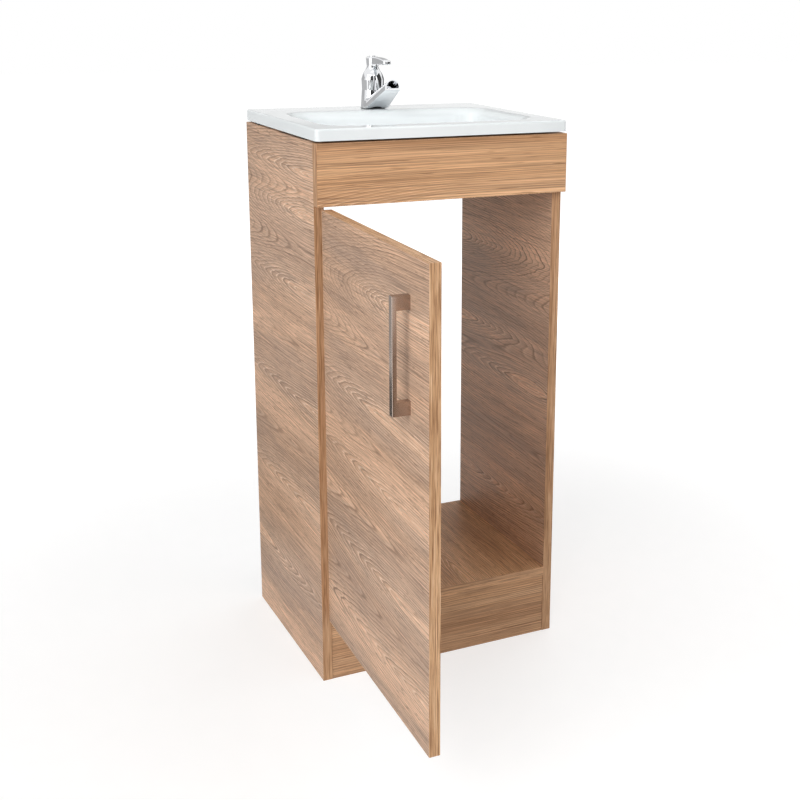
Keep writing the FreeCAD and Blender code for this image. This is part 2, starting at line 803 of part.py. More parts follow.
def make_tap_body():
    """Cast tap body: a flared foot with a flat-sided spout that rises to an arched open mouth."""
    casting = body("tap_casting")
    foot = outline(casting, "XZ_Plane", [
        ("0", "0"), ("tap_foot_radius", "0"), ("tap_shoulder_radius", "tap_body_height"),
        ("0", "tap_body_height"),
    ])
    revolve(casting, foot)
    root_arch = arch("spout_root_half", "0", "spout_root_side")
    tip_arch = arch("spout_tip_half", "spout_tip_low", "spout_tip_side")
    pad(casting, outline(casting, "XZ_Plane", root_arch, "spout_root"), "spout_root", reverse=True)
    root = outline(casting, "XZ_Plane", root_arch, "spout_root")
    tip = outline(casting, "XZ_Plane", tip_arch, "spout_reach")
    loft(casting, "PartDesign::AdditiveLoft", root, tip)
    below = outline(casting, "YZ_Plane", [("-spout_root", "0"), ("-spout_reach", "spout_tip_low"),
                                          ("-spout_reach", "0")])
    pad(casting, below, "2 * (spout_root_half + overrun)", kind="PartDesign::Pocket", symmetric=True)
    mouth_arch = arch("mouth_half", "mouth_low", "spout_tip_side")
    back_arch = arch("mouth_half", "mouth_back_low", "mouth_back_side")
    mouth = outline(casting, "XZ_Plane", mouth_arch, "spout_reach")
    mouth_end = outline(casting, "XZ_Plane", back_arch, "mouth_back")
    loft(casting, "PartDesign::SubtractiveLoft", mouth, mouth_end)
    node("tap_body", on_tap(casting))


def make_tap_bonnet():
    """Bottle-shaped shroud over the valve, with the spindle's bore."""
    shroud = body("tap_shroud")
    bore = "spindle_radius + fit"
    profile = outline(shroud, "XZ_Plane", [
        (bore, "tap_body_height"),
        ("tap_shoulder_radius", "tap_body_height"),
        ("bonnet_radius", "bonnet_belly"),
        ("bonnet_waist_radius", "bonnet_waist", "bonnet_curve_out"),
        ("bonnet_neck_radius", "bonnet_top", "-bonnet_curve_in"),
        (bore, "bonnet_top"),
    ])
    revolve(shroud, profile)
    node("tap_bonnet", on_tap(shroud))


def axle(radius, low, high):
    """Upright round on the tap's axis between two heights."""
    return rod(radius, "(%s) - (%s)" % (high, low), ("0", "0", low))


def make_tap_lever():
    """Quarter-turn lever on its spindle, with a screw under a small cap."""
    lever = body("tap_lever_body")
    hub = outline(lever, "XZ_Plane", [
        ("0", "hub_foot"), ("hub_radius - hub_draft", "hub_foot"), ("hub_radius", "hub_edge"),
        ("cap_radius + cap_margin", "hub_top", "hub_curve"), ("0", "hub_top"),
    ])
    revolve(lever, hub)
    arm = body("tap_lever_arm")
    side_view = outline(arm, "YZ_Plane", [
        ("0", "lever_root_low"), ("0", "lever_root_high"),
        ("-lever_length", "lever_tip_high", "lever_bow"), ("-lever_length", "lever_tip_low"),
    ])
    pad(arm, side_view, "lever_width", symmetric=True)
    tip = -value("lever_length")
    soften(arm, "lever_tip_round", lambda edge: abs(edge.BoundBox.YMin - tip) < CLOSE
           and abs(edge.BoundBox.YMax - tip) < CLOSE and edge.BoundBox.XLength < CLOSE)
    soften(arm, "lever_soft", lambda edge: edge.BoundBox.YMin < tip / 2 and edge.BoundBox.YLength > CLOSE)
    bores = [
        axle("spindle_radius + fit", "hub_foot", "spindle_top + fit"),
        axle("lever_screw_radius + fit", "hub_foot", "hub_top"),
        axle("lever_screw_head_radius + fit", "lever_screw_seat", "hub_top"),
        axle("cap_radius + fit", "cap_foot", "cap_foot + cap_height"),
    ]
    node("tap_lever", on_tap(cut(fuse([lever, arm]), bores), "lever_turn_angle"))
    node("tap_lever_cap", on_tap(group([axle("cap_radius", "cap_foot", "cap_foot + cap_height")])))
    shank = axle("lever_screw_radius", "lever_screw_foot", "lever_screw_seat")
    head = axle("lever_screw_head_radius", "lever_screw_seat", "lever_screw_top")
    node("tap_lever_screw", on_tap(fuse([shank, head])))
    thread = axle("lever_screw_radius + fit", "lever_screw_foot - fit", "spindle_top")
    node("tap_spindle", on_tap(cut(axle("spindle_radius", "spindle_foot", "spindle_top"), [thread])))


def make_tap_fixings():
    """The tap's gasket, its threaded shank through the basin, and the washer and nut under the ledge."""
    spot = ("0", "tap_y")
    node("tap_gasket", ring("tap_foot_radius - gasket_margin", "shank_radius + fit", "gasket",
                            (*spot, "rim_z")))
    node("tap_shank", ring("shank_radius", "shank_bore", "shank_length", (*spot, "tap_z - shank_length")))
    washer_z = "slab_z - tap_washer"
    node("tap_washer", ring("tap_washer_radius", "shank_radius + fit", "tap_washer", (*spot, washer_z)))
    nut_z = "slab_z - tap_washer - backnut_height"
    node("tap_backnut", hexagon_nut("backnut_radius", "shank_radius + fit", "backnut_height", "tap_y", nut_z))


def make_door():
    """The door board with its bands, cup bores, handle holes and bumpers, drawn closed and carried open."""
    handle_mid = "handle_bottom + handle_length / 2"
    handle_centre = "handle_along + handle_width / 2"
    holes = []
    for height in HINGES.values():
        holes.append(rod("cup_radius + fit", "cup_bore_depth",
                         ("cup_centre", "board - cup_bore_depth", height), "y"))
        for sign in "-+":
            holes.append(rod("screw_radius + fit", "cup_screw_sink + fit",
                             ("cup_centre + cup_screw_offset", "board - cup_screw_sink - fit",
                              "%s %s cup_screw_z" % (height, sign)), "y"))
    screws = []
    for sign in "-+":
        z = "%s %s handle_pitch / 2" % (handle_mid, sign)
        holes.append(rod("screw_radius + fit", "board", (handle_centre, "0", z), "y"))
        screws.append(screw("board + handle_screw_sink", (handle_centre, "-handle_screw_sink", z), "y",
                            head_first=False))
    core, bands = banded_board(("door_width", "board", "door_height"), ("0", "0", "door_bottom"), holes)
    node("door_panel", on_door(core))
    node("door_edge_bands", on_door(bands))
    node("handle_screws", on_door(group(screws)))
    bumpers = [rod("bumper_radius", "bumper_height", ("door_width - bumper_inset", "board", z), "y")
               for z in ("door_bottom + bumper_end", "door_top - bumper_end")]
    node("door_bumpers", on_door(group(bumpers)))


def make_handle():
    """Square D-handle: two block feet and a flat bar."""
    grip = body("handle_body")
    foot_low = "handle_bottom + handle_foot"
    foot_high = "handle_bottom + handle_length - handle_foot"
    top = "handle_bottom + handle_length"
    bar_inside = "handle_bar - handle_reach"
    side_view = outline(grip, "YZ_Plane", [
        ("0", "handle_bottom"), ("0", foot_low), (bar_inside, foot_low), (bar_inside, foot_high),
        ("0", foot_high), ("0", top), ("-handle_reach", top), ("-handle_reach", "handle_bottom"),
    ], "handle_along")
    pad(grip, side_view, "handle_width")
    outside = -value("handle_reach")
    soften(grip, "handle_soft", lambda edge: abs(edge.BoundBox.YMin - outside) < CLOSE)
    handle_centre = "handle_along + handle_width / 2"
    threads = []
    for sign in "-+":
        z = "handle_bottom + handle_length / 2 %s handle_pitch / 2" % sign
        threads.append(rod("screw_radius + fit", "handle_screw_sink + fit",
                           (handle_centre, "-handle_screw_sink - fit", z), "y"))
    node("door_handle", on_door(cut(grip, threads)))


def make_hinge_carriers(name, height):
    """One hinge's mounting plate on the side panel and the channel-shaped arm that sits on it."""
    base = box(("plate_thickness", "plate_length", "2 * plate_half"),
               ("-inner", "front + plate_start", "%s - plate_half" % height))
    rail = box(("arm_high - arm_web - board - plate_thickness", "rail_length", "2 * rail_half"),
               ("plate_thickness - inner", "front + plate_start", "%s - rail_half" % height))
    holes = []
    for sign in "-+":
        holes.append(rod("screw_radius + fit", "plate_thickness",
                         ("-inner", "front + plate_screw_y", "%s %s plate_screw_z" % (height, sign)), "x"))
    rail_top = "-width / 2 + arm_high - arm_web"
    for y in ("arm_screw_first", "arm_screw_second"):
        holes.append(rod("screw_radius + fit", "arm_screw_sink + fit",
                         ("%s - arm_screw_sink - fit" % rail_top, "front + %s" % y, height), "x"))
    node("hinge_plate_" + name, cut(fuse([base, rail]), holes))
    arm = body("arm_%s_body" % name)
    side_view = outline(arm, "XY_Plane", [
        ("arm_x - nose_radius", "arm_y"),
        ("arm_x - nose_radius", "front + arm_throat"),
        ("-width / 2 + arm_low + arm_toe", "front + arm_shoulder"),
        ("-width / 2 + arm_low", "front + arm_heel"),
        ("-width / 2 + arm_low", "front + arm_back"),
        ("-width / 2 + arm_high", "front + arm_back"),
        ("-width / 2 + arm_high", "front + arm_crank"),
        ("-width / 2 + arm_peak", "front + arm_brow"),
        ("-width / 2 + arm_peak", "front + arm_lip"),
        ("arm_x + nose_radius", "front + arm_lip"),
        ("arm_x + nose_radius", "arm_y"),
    ], height)
    pad(arm, side_view, "2 * cheek_far", symmetric=True)
    nose = rod("nose_radius", "2 * cheek_far", ("arm_x", "arm_y", "%s - cheek_far" % height))
    channel = body("channel_%s_body" % name)
    inside = outline(channel, "XY_Plane", [
        ("arm_x - 3 * nose_radius", "arm_y - 2 * nose_radius"),
        ("arm_x - 3 * nose_radius", "front"),
        ("-width / 2 + arm_low - arm_toe", "front + arm_shoulder"),
        ("-width / 2 + arm_low - arm_toe", "front + arm_back + arm_throat"),
        ("-width / 2 + arm_high - arm_web", "front + arm_back + arm_throat"),
        ("-width / 2 + arm_high - arm_web", "front + arm_crank - arm_web / 2"),
        ("-width / 2 + arm_peak - 4 * arm_web", "front + arm_brow + 2 * arm_web"),
        ("-width / 2 + arm_peak + arm_throat", "front + arm_brow / 2"),
        ("-width / 2 + arm_peak + arm_throat", "arm_y - 2 * nose_radius"),
    ], height)
    pad(channel, inside, "2 * cheek_near", symmetric=True)
    pivots = [rod("pin_radius + fit", "2 * cheek_far", ("arm_x", "arm_y", "%s - cheek_far" % height))]
    for share in SLOT_SHARES:
        pivots.append(rod("slot_radius", "2 * cheek_far",
                          ("slot_x + %s * slot_run_x" % share, "slot_y + %s * slot_run_y" % share,
                           "%s - cheek_far" % height)))
    for y in ("arm_screw_first", "arm_screw_second"):
        pivots.append(rod("screw_radius + fit", "arm_web", (rail_top, "front + %s" % y, height), "x"))
    node("hinge_arm_" + name, cut(cut(fuse([arm, nose]), [channel]), pivots))


def link_plate(length, eye, bar, start, thickness):
    """Flat link from one pivot to another along its own X axis."""
    return [
        rod(eye, thickness, ("0", "0", start)),
        rod(eye, thickness, (length, "0", start)),
        box((length, "2 * " + bar, thickness), ("0", "-" + bar, start)),
    ]


def make_hinge_links(name, height):
    """One hinge's short inner link and its forked outer link, each drawn along X and turned into place."""
    pin_hole = "pin_radius + fit"
    solid = fuse(link_plate("inner_length", "inner_eye", "inner_bar", "-inner_half", "2 * inner_half"))
    holes = [rod(pin_hole, "2 * inner_half", (x, "0", "-inner_half")) for x in ("0", "inner_length")]
    inner_link = cut(solid, holes)
    node("inner_link_" + name, seat(inner_link, "arm_x", "arm_y", height,
                                    "360 deg + atan2(cup_y - arm_y; cup_x - arm_x)"))
    thickness = "outer_far - outer_near"
    plates = []
    holes = []
    for start in ("outer_near", "-outer_far"):
        plates += link_plate("outer_length", "outer_eye", "outer_bar", start, thickness)
        holes.append(rod(pin_hole, thickness, ("outer_length", "0", start)))
    cross_pin = rod("pin_radius", "2 * cheek_far", ("0", "0", "-cheek_far"))
    outer_link = cut(fuse(plates + [cross_pin]), holes)
    node("outer_link_" + name, seat(outer_link, "slot_x", "slot_y", height,
                                    "360 deg + atan2(outer_y - slot_y; outer_x - slot_x)"))


def make_hinge_cup(name, height):
    """One hinge's pressed cup in the door: flange, floor and two ears that hold the link pins."""
    shell = rod("cup_radius", "cup_bore_depth", ("cup_centre", "board - cup_bore_depth", height), "y")
    flange = box(("cup_flange_far - cup_flange_near", "cup_flange", "2 * cup_flange_half"),
                 ("cup_flange_near", "board", "%s - cup_flange_half" % height))
    clear_height = "board + cup_flange - cup_floor"
    hollow = rod("cup_radius - cup_wall", clear_height, ("cup_centre", "cup_floor", height), "y")
    ears = []
    for start in ("ear_near", "-ear_far"):
        ears.append(box(("ear_end - ear_start", clear_height, "ear_far - ear_near"),
                        ("ear_start", "cup_floor", "%s + (%s)" % (height, start))))
    holes = []
    for pin in ("cup_pin", "outer_pin"):
        holes.append(rod("pin_radius + fit", "2 * ear_far",
                         (pin + "_along", pin + "_depth", "%s - ear_far" % height)))
    for sign in "-+":
        screw_z = "%s %s cup_screw_z" % (height, sign)
        holes.append(rod("screw_radius + fit", "cup_flange",
                         ("cup_centre + cup_screw_offset", "board", screw_z), "y"))
    cup = cut(fuse([cut(fuse([shell, flange]), [hollow])] + ears), holes)
    node("hinge_cup_" + name, on_door(cup))


def make_hinge_pins_and_screws():
    """Pins and screws of both hinges."""
    arm_pins = []
    cup_pins = []
    plate_screws = []
    arm_screws = []
    cup_screws = []
    for height in HINGES.values():
        arm_pins.append(rod("pin_radius", "2 * cheek_far", ("arm_x", "arm_y", "%s - cheek_far" % height)))
        cup_pins.append(rod("pin_radius", "2 * ear_far",
                            ("cup_pin_along", "cup_pin_depth", "%s - ear_far" % height)))
        for start in ("outer_pin_near", "-ear_far"):
            cup_pins.append(rod("pin_radius", "ear_far - outer_pin_near",
                                ("outer_pin_along", "outer_pin_depth", "%s + (%s)" % (height, start))))
        for sign in "-+":
            plate_z = "%s %s plate_screw_z" % (height, sign)
            cup_z = "%s %s cup_screw_z" % (height, sign)
            plate_screws.append(screw(
                "plate_thickness + plate_screw_sink",
                ("-inner - plate_screw_sink", "front + plate_screw_y", plate_z), "x", head_first=False))
            cup_screws.append(screw(
                "cup_flange + cup_screw_sink",
                ("cup_centre + cup_screw_offset", "board - cup_screw_sink", cup_z), "y", head_first=False))
        for y in ("arm_screw_first", "arm_screw_second"):
            arm_screws.append(screw(
                "arm_web + arm_screw_sink",
                ("-width / 2 + arm_high - arm_web - arm_screw_sink", "front + %s" % y, height), "x",
                head_first=False))
    node("arm_pins", group(arm_pins))
    node("cup_pins", on_door(group(cup_pins)))
    node("hinge_plate_screws", group(plate_screws))
    node("hinge_arm_screws", group(arm_screws))
    node("hinge_cup_screws", on_door(group(cup_screws)))


def export_nodes():
    """Check every object, then write each named sub-part to its own file."""
    doc.recompute()
    for obj in doc.Objects:
        if "Invalid" in obj.State or "Error" in obj.State:
            raise RuntimeError("object not built: %s %s" % (obj.Name, obj.State))
        shape = getattr(obj, "Shape", None)
        if shape is not None and not obj.isDerivedFrom("Sketcher::SketchObject") and (
                shape.isNull() or not shape.isValid()):
            raise RuntimeError("bad shape: %s %s" % (obj.Name, obj.Label))
    for obj in nodes:
        obj.Shape.exportStep("parts/%s.step" % obj.Label)
        print("%-24s solids %d volume %.1f" % (obj.Label, len(obj.Shape.Solids), obj.Shape.Volume))


make_side_panels()
make_shelf_and_rails()
make_connectors()
make_plinth()
make_fascia()
make_basin()
make_waste()
make_tap_body()
make_tap_bonnet()
make_tap_lever()
make_tap_fixings()
make_door()
make_handle()
for hinge_name, hinge_height in HINGES.items():
    make_hinge_carriers(hinge_name, hinge_height)
    make_hinge_links(hinge_name, hinge_height)
    make_hinge_cup(hinge_name, hinge_height)
make_hinge_pins_and_screws()
export_nodes()
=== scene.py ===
"""Looks of a slim vanity cabinet: wood decor boards, glazed basin, chrome tap and satin handle."""
import math
from collections import namedtuple

import bpy
from mathutils import Matrix, Vector

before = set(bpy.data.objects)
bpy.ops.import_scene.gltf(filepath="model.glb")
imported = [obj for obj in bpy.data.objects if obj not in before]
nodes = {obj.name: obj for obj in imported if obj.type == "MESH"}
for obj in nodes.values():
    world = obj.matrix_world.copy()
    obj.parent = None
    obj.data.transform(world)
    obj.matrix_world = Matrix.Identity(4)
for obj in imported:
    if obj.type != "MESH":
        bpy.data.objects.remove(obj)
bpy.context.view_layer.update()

scene = bpy.context.scene
AXES = {"x": 0, "y": 1, "z": 2}
WHITE = (1.0, 1.0, 1.0, 1.0)
NEAR_BLACK = (0.01, 0.01, 0.01, 1.0)

# Most values of a noise lie between these two
NOISE_LOW = 0.3
NOISE_HIGH = 0.7
NOISE_MIDDLE = 0.5


class Graph:
    """Node tree of one material, with short calls for the nodes it is made of."""

    def __init__(self, name):
        self.material = bpy.data.materials.new(name)
        self.material.use_nodes = True
        self.tree = self.material.node_tree
        self.shader = self.tree.nodes["Principled BSDF"]
        place = self.add("ShaderNodeTexCoord")
        self.coords = place.outputs["Object"]
        self.facing = place.outputs["Normal"]

    def add(self, kind):
        return self.tree.nodes.new(kind)

    def feed(self, socket, source):
        """Link a socket, or set it where the source is a plain value."""
        if isinstance(source, bpy.types.NodeSocket):
            self.tree.links.new(source, socket)
        else:
            socket.default_value = source

    def math(self, operation, *inputs):
        node = self.add("ShaderNodeMath")
        node.operation = operation
        for number, source in enumerate(inputs):
            self.feed(node.inputs[number], source)
        return node.outputs[0]

    def product(self, first, *others):
        for other in others:
            first = self.math("MULTIPLY", first, other)
        return first

    def linear(self, source, slope, start):
        """Slope times the source, plus a start."""
        return self.math("MULTIPLY_ADD", source, slope, start)

    def split(self, vector):
        node = self.add("ShaderNodeSeparateXYZ")
        self.feed(node.inputs[0], vector)
        return node.outputs

    def vector(self, *parts):
        node = self.add("ShaderNodeCombineXYZ")
        for number, source in enumerate(parts):
            self.feed(node.inputs[number], source)
        return node.outputs[0]

    def noise(self, vector, scale=1.0, detail=2.0, roughness=0.5):
        node = self.add("ShaderNodeTexNoise")
        self.feed(node.inputs["Vector"], vector)
        node.inputs["Scale"].default_value = scale
        node.inputs["Detail"].default_value = detail
        node.inputs["Roughness"].default_value = roughness
        return node.outputs["Fac"]

    def span(self, source, low, high, to_low=0.0, to_high=1.0):
        """Carry one range to another, smoothly and held at its ends."""
        node = self.add("ShaderNodeMapRange")
        node.interpolation_type = "SMOOTHSTEP"
        self.feed(node.inputs["Value"], source)
        node.inputs["From Min"].default_value = low
        node.inputs["From Max"].default_value = high
        node.inputs["To Min"].default_value = to_low
        node.inputs["To Max"].default_value = to_high
        return node.outputs[0]

    def spread(self, noise, to_low, to_high):
        """Carry the usual range of a noise to another range."""
        return self.span(noise, NOISE_LOW, NOISE_HIGH, to_low, to_high)

    def ramp(self, source, stops):
        """Colour by places on a scale from 0 to 1."""
        node = self.add("ShaderNodeValToRGB")
        self.feed(node.inputs[0], source)
        band = node.color_ramp
        while len(band.elements) < len(stops):
            band.elements.new(1.0)
        for element, (place, tone) in zip(band.elements, stops):
            element.position = place
            element.color = (*tone, 1.0)
        return node.outputs[0]

    def mottle(self, noise, first, second):
        """Two colours that change over with a noise."""
        return self.ramp(noise, [(NOISE_LOW, first), (NOISE_HIGH, second)])

    def mix(self, share, first, second, blend="MIX"):
        node = self.add("ShaderNodeMix")
        node.data_type = "RGBA"
        node.blend_type = blend
        self.feed(node.inputs["Factor"], share)
        for name, source in (("A", first), ("B", second)):
            socket = next(s for s in node.inputs if s.name == name and s.type == "RGBA")
            self.feed(socket, source if isinstance(source, bpy.types.NodeSocket) else (*source, 1.0))
        return next(s for s in node.outputs if s.type == "RGBA")

    def bump(self, height, distance, strength):
        node = self.add("ShaderNodeBump")
        self.feed(node.inputs["Height"], height)
        node.inputs["Distance"].default_value = distance
        node.inputs["Strength"].default_value = strength
        self.feed(self.shader.inputs["Normal"], node.outputs[0])

    def set(self, **inputs):
        """Feed the shader's sockets, named with _ for a space."""
        for name, source in inputs.items():
            self.feed(self.shader.inputs[name.replace("_", " ")], source)


def colour(*srgb):
    """Linear colour from screen values out of 255."""
    parts = [value / 255 for value in srgb]
    return tuple(v / 12.92 if v <= 0.04045 else ((v + 0.055) / 1.055) ** 2.4 for v in parts)


def palette(**tones):
    return {name: colour(*srgb) for name, srgb in tones.items()}


# Wood colours
FACE_TONES = palette(pale=(222, 181, 150), mid=(203, 165, 136), deep=(182, 149, 125),
                     cool=(178, 150, 130), line=(108, 79, 58), gleam=(236, 208, 183))
FRONT_TONES = palette(pale=(217, 171, 129), mid=(200, 154, 113), deep=(178, 131, 92),
                      cool=(184, 141, 106), line=(118, 78, 47), gleam=(236, 196, 160))
WARM_TONES = palette(pale=(210, 167, 129), mid=(198, 153, 114), deep=(182, 136, 98),
                     cool=(178, 138, 106), line=(128, 88, 56), gleam=(224, 183, 146))
EDGE_TONES = palette(pale=(226, 182, 140), mid=(212, 167, 125), deep=(194, 148, 107),
                     line=(122, 80, 48), gleam=(238, 200, 162))

# An arch in a board's grain: where its tip is along and across it, and its slopes to the low and high end
Figure = namedtuple("Figure", "apex middle low_slope high_slope")
LEFT_FIGURES = (
    Figure(0.02, 0.785, 0.0, 0.12),
    Figure(0.03, 0.72, 0.1, 0.16),
    Figure(0.06, 0.605, 0.0, 0.13),
    Figure(-0.03, 0.43, 0.0, 0.09),
    Figure(0.0, 0.27, 0.0, 0.1),
    Figure(0.32, 0.13, 0.1, 0.0),
)
RIGHT_FIGURES = (
    Figure(0.32, 0.62, 0.2, 0.0),
    Figure(0.31, 0.475, 0.15, 0.0),
    Figure(0.05, 0.41, 0.16, 0.12),
    Figure(0.3, 0.2, 0.12, 0.0),
)
DOOR_FIGURES = (
    Figure(-0.3, 0.655, 0.0, 0.22),
    Figure(-0.27, 0.5, 0.0, 0.12),
    Figure(-0.36, 0.4, 0.0, 0.1),
    Figure(-0.33, 0.275, 0.0, 0.12),
    Figure(-0.47, 0.17, 0.0, 0.1),
)
FASCIA_FIGURES = (Figure(0.02, 0.742, 0.1, 0.03),)
SHELF_FIGURES = (Figure(0.0, 0.05, 0.0, 0.14),)

# A layer of drawn out noise: its size along and across the grain in metres, and its place in the noise
Layer = namedtuple("Layer", "length width shift detail roughness", defaults=(2.0, 0.5))
DRIFT = Layer(0.42, 0.17, 0.0, detail=1.0)
WOBBLE = Layer(0.09, 0.017, 3.1, detail=3.0, roughness=0.6)
PACE = Layer(3.3, 0.033, 5.3, detail=1.0)
BANDS = Layer(0.83, 0.067, 7.7, detail=3.0, roughness=0.55)
BREAKS = Layer(0.45, 0.0083, 9.1)
CLEARNESS = Layer(0.5, 0.125, 11.3)
STREAKS = Layer(0.25, 0.0023, 13.9, roughness=0.6)
FIBRE = Layer(0.07, 0.0013, 17.9, detail=3.0, roughness=0.65)
PORES = Layer(0.021, 0.0016, 23.5, detail=1.0)
CLOUDS = Layer(0.7, 0.09, 27.1, detail=3.0, roughness=0.55)

# Growth rings, in metres: their gap, and how far each layer pushes them aside
RING_GAP = 0.0037
DRIFT_PUSH = 0.014
WOBBLE_PUSH = 0.0016
PACE_PUSH = 0.01
TIP_PUSH = 0.04
ARCH_POWER = 1.5
ARCH_BLEND = 0.05

# Ranges that the layers and rings are carried from, and to
FIGURE_SPAN = (0.012, 0.05, 1.0, 0.0)
CORE_SPAN = (0.0085, 0.01, 1.0, 0.0)
BREAK_SPAN = (0.35, 0.6, 0.55, 1.0)
CLEAR_SPAN = (0.36, 0.64, 0.62, 1.0)
CLOUD_SPAN = (0.44, 0.62, 0.0, 0.52)
LATE_RISE = (0.6, 0.86)
LATE_FALL = (0.9, 1.0, 1.0, 0.0)
EARLY_RISE = (0.0, 0.06)
EARLY_FALL = (0.08, 0.35, 1.0, 0.0)
STREAK_SPAN = (0.53, 0.66)
PORE_SPAN = (0.62, 0.72)
FIBRE_SHADE = (NOISE_LOW, NOISE_HIGH, 0.66, 1.34)
FIBRE_GLOSS = (0.2, 0.8, 0.42, 0.58)
BAND_STOPS = {"deep": 0.36, "mid": 0.48, "pale": 0.62}

# Shares of the wood's marks, and what the arches add to them or take away
LOT_SHARE = 0.5
FIGURE_CALM = 0.25
CORE_SHARE = 0.5
LATE_SHARE = 0.85
GLEAM_SHARE = 0.2
FIGURE_GLEAM = 0.6
STREAK_SHARE = 0.32
FIGURE_FAINT = 0.6
PORE_SHARE = 0.5

# Relief of the wood
LATE_DIP = 0.3
FIBRE_RISE = 0.4
WOOD_RELIEF = 0.00012


class Wood(Graph):
    """Node tree of a wood material, with its directions along (u) and across (v) the grain."""

    def __init__(self, name, seed, run=1.0):
        super().__init__(name)
        self.seed = seed
        self.run = run
        self.axes = self.split(self.coords)

    def lay(self, u, v):
        self.u = u
        self.v = v

    def grain(self, layer, cross=None):
        """Noise of one layer, across the board or across the given lines."""
        along = self.math("DIVIDE", self.u, layer.length * self.run)
        across = self.math("DIVIDE", self.v if cross is None else cross, layer.width)
        place = self.vector(along, across, self.seed + layer.shift)
        return self.noise(place, detail=layer.detail, roughness=layer.roughness)

    def sway(self, layer):
        """Noise of one layer, as much below zero as above it."""
        return self.math("SUBTRACT", self.grain(layer), NOISE_MIDDLE)

    def arch(self, figure, level, tip):
        """Distance from a figure's middle line, longer past its tip, so that equal distances form arches."""
        reach = self.linear(tip, TIP_PUSH, self.math("SUBTRACT", self.u, figure.apex))
        low_rise = self.product(reach, -figure.low_slope)
        high_rise = self.product(reach, figure.high_slope)
        rise = self.math("POWER", self.math("MAXIMUM", low_rise, high_rise), ARCH_POWER)
        side = self.math("ABSOLUTE", self.math("SUBTRACT", level, figure.middle))
        total = self.math("ADD", rise, self.math("POWER", side, ARCH_POWER))
        return self.math("POWER", total, 1 / ARCH_POWER)

    def rings(self, bend, figures):
        """Wavering level across the board, and depth of the growth rings, which arch round the figures."""
        drift = self.sway(DRIFT)
        wobble = self.sway(WOBBLE)
        level = self.linear(drift, bend, self.v)
        level = self.linear(wobble, WOBBLE_PUSH, level)
        level = self.linear(self.sway(PACE), PACE_PUSH, level)
        if not figures:
            return level, level
        tip = self.math("ADD", drift, wobble)
        depth, *others = [self.arch(figure, level, tip) for figure in figures]
        for other in others:
            depth = self.math("SMOOTH_MIN", depth, other, ARCH_BLEND)
        return level, depth

    def lot(self, turns):
        """A number for each ring from 0 to 1, as if drawn by lot."""
        node = self.add("ShaderNodeTexWhiteNoise")
        node.noise_dimensions = "1D"
        self.feed(node.inputs["W"], self.math("ADD", self.math("FLOOR", turns), self.seed))
        return node.outputs["Value"]

    def bands(self, source, stops, tones):
        return self.ramp(source, [(place, tones[name]) for name, place in stops.items()])


def wood(name, along, across, seed, tones, figures=(), gap=RING_GAP, bend=DRIFT_PUSH, band=BANDS.width,
         run=1.0, force=1.0):
    """Printed woodgrain: tone bands, growth rings that arch round each figure, streaks and short pores.

    A longer run draws the grain out, and force deepens its lines.
    """
    g = Wood(name, seed, run)
    g.lay(g.axes[AXES[along]], g.axes[AXES[across]])
    level, depth = g.rings(bend, figures)

    # Round an arch the rings show more, and its core is plain
    figured = g.span(depth, *FIGURE_SPAN) if figures else 0.0
    core = g.span(depth, *CORE_SPAN) if figures else 0.0
    plain = g.math("SUBTRACT", 1.0, core)

    # Dark late wood and pale early wood of each ring, and how strong its dark line is
    turns = g.math("DIVIDE", depth, gap)
    ring = g.math("FRACT", turns)
    late = g.product(g.span(ring, *LATE_RISE), g.span(ring, *LATE_FALL))
    early = g.product(g.span(ring, *EARLY_RISE), g.span(ring, *EARLY_FALL))
    clear = g.math("MAXIMUM", g.span(g.grain(CLEARNESS), *CLEAR_SPAN), figured)
    uneven = g.linear(g.lot(turns), LOT_SHARE, 1.0 - LOT_SHARE)
    calm = g.linear(figured, -FIGURE_CALM, 1.0)
    broken = g.span(g.grain(BREAKS, depth), *BREAK_SPAN)
    strength = g.product(clear, uneven, calm, broken, plain)

    # Finer marks
    fibre = g.grain(FIBRE, level)
    pores = g.span(g.grain(PORES, level), *PORE_SPAN)
    cloud = g.span(g.grain(CLOUDS, level), *CLOUD_SPAN)
    gleam = g.product(early, g.linear(figured, FIGURE_GLEAM, GLEAM_SHARE), clear)
    streak = g.span(g.grain(STREAKS, level), *STREAK_SPAN, 0.0, STREAK_SHARE * force)
    streak = g.product(streak, g.linear(figured, -FIGURE_FAINT, 1.0))
    shade = g.span(fibre, *FIBRE_SHADE)

    # Colour from broad to fine
    base = g.bands(g.grain(BANDS._replace(width=band), level), BAND_STOPS, tones)
    base = g.mix(g.product(cloud, plain), base, tones["cool"])
    base = g.mix(g.product(core, CORE_SHARE), base, tones["pale"])
    base = g.mix(g.product(late, strength, LATE_SHARE * force), base, tones["line"])
    base = g.mix(gleam, base, tones["gleam"])
    base = g.mix(streak, base, tones["line"])
    base = g.mix(g.product(pores, PORE_SHARE), base, tones["line"])
    base = g.mix(1.0, base, g.vector(shade, shade, shade), blend="MULTIPLY")

    # Gloss and relief
    dips = g.linear(late, LATE_DIP, pores)
    relief = g.math("SUBTRACT", g.product(fibre, FIBRE_RISE), dips)
    g.set(Base_Color=base, Roughness=g.span(fibre, *FIBRE_GLOSS), Specular_IOR_Level=0.3)
    g.bump(relief, WOOD_RELIEF, strength=0.6)
    return g.material


# Layers of the edge bands, with sizes as parts of a metre
EDGE_SWAY = Layer(1 / 9, 1 / 30, 0.0)
EDGE_BANDS = Layer(1 / 3, 1 / 110, 5.1)
EDGE_FIBRE = Layer(1 / 50, 1 / 1400, 9.7, detail=3.0, roughness=0.65)
EDGE_STREAKS = Layer(1 / 18, 1 / 680, 13.3, roughness=0.6)

